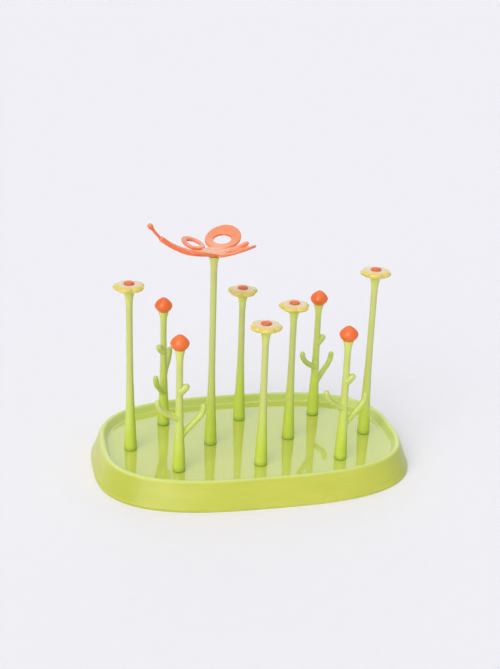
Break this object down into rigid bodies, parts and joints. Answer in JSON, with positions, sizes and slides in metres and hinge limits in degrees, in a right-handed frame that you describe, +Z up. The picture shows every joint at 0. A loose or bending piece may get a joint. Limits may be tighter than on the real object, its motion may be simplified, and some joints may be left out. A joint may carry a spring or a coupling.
{
  "type": "bottle drying rack",
  "caption": "Oval drip tray with plug-in stems of several heights, topped with flowers, buds and a butterfly, for drying baby bottles, teats and small parts.",
  "frame": {"origin": "centre of the tray on the surface it rests on", "axes": "+X along the tray's long side, +Y to the back row of stems, +Z up"},
  "size_m": [0.3, 0.2, 0.2361],
  "materials": {
    "tray": "glossy moulded plastic, yellow green",
    "stems": "satin moulded plastic, leaf green",
    "petals": "glossy moulded plastic, pale yellow",
    "caps": "satin moulded plastic, orange",
    "buds": "soft satin moulded plastic, orange",
    "butterfly": "satin moulded plastic, orange"
  },
  "bodies": {
    "tray": {"tray": "tray"},
    "left_end_stem": {"stem_left_end": "stems", "petals_left_end": "petals", "cap_left_end": "caps"},
    "butterfly_stem": {"stem_butterfly": "stems", "butterfly": "butterfly"},
    "inner_right_stem": {"stem_inner_right": "stems", "petals_inner_right": "petals", "cap_inner_right": "caps"},
    "right_end_stem": {"stem_right_end": "stems", "petals_right_end": "petals", "cap_right_end": "caps"},
    "back_left_stem": {"stem_back_left": "stems", "bud_back_left": "buds"},
    "back_middle_stem": {"stem_back_middle": "stems", "petals_back_middle": "petals", "cap_back_middle": "caps"},
    "back_right_stem": {"stem_back_right": "stems", "bud_back_right": "buds"},
    "front_left_stem": {"stem_front_left": "stems", "bud_front_left": "buds"},
    "front_middle_stem": {"stem_front_middle": "stems", "petals_front_middle": "petals", "cap_front_middle": "caps"},
    "front_right_stem": {"stem_front_right": "stems", "bud_front_right": "buds"}
  },
  "joints": [
    {"name": "left_end_lift", "type": "slide", "parent": "tray", "child": "left_end_stem", "axis": [0, 0, 1], "range_m": [0, 0.24]},
    {"name": "butterfly_lift", "type": "slide", "parent": "tray", "child": "butterfly_stem", "axis": [0, 0, 1], "range_m": [0, 0.24]},
    {"name": "inner_right_lift", "type": "slide", "parent": "tray", "child": "inner_right_stem", "axis": [0, 0, 1], "range_m": [0, 0.24]},
    {"name": "right_end_lift", "type": "slide", "parent": "tray", "child": "right_end_stem", "axis": [0, 0, 1], "range_m": [0, 0.24]},
    {"name": "back_left_lift", "type": "slide", "parent": "tray", "child": "back_left_stem", "axis": [0, 0, 1], "range_m": [0, 0.24]},
    {"name": "back_middle_lift", "type": "slide", "parent": "tray", "child": "back_middle_stem", "axis": [0, 0, 1], "range_m": [0, 0.24]},
    {"name": "back_right_lift", "type": "slide", "parent": "tray", "child": "back_right_stem", "axis": [0, 0, 1], "range_m": [0, 0.24]},
    {"name": "front_left_lift", "type": "slide", "parent": "tray", "child": "front_left_stem", "axis": [0, 0, 1], "range_m": [0, 0.24]},
    {"name": "front_middle_lift", "type": "slide", "parent": "tray", "child": "front_middle_stem", "axis": [0, 0, 1], "range_m": [0, 0.24]},
    {"name": "front_right_lift", "type": "slide", "parent": "tray", "child": "front_right_stem", "axis": [0, 0, 1], "range_m": [0, 0.24]}
  ]
}
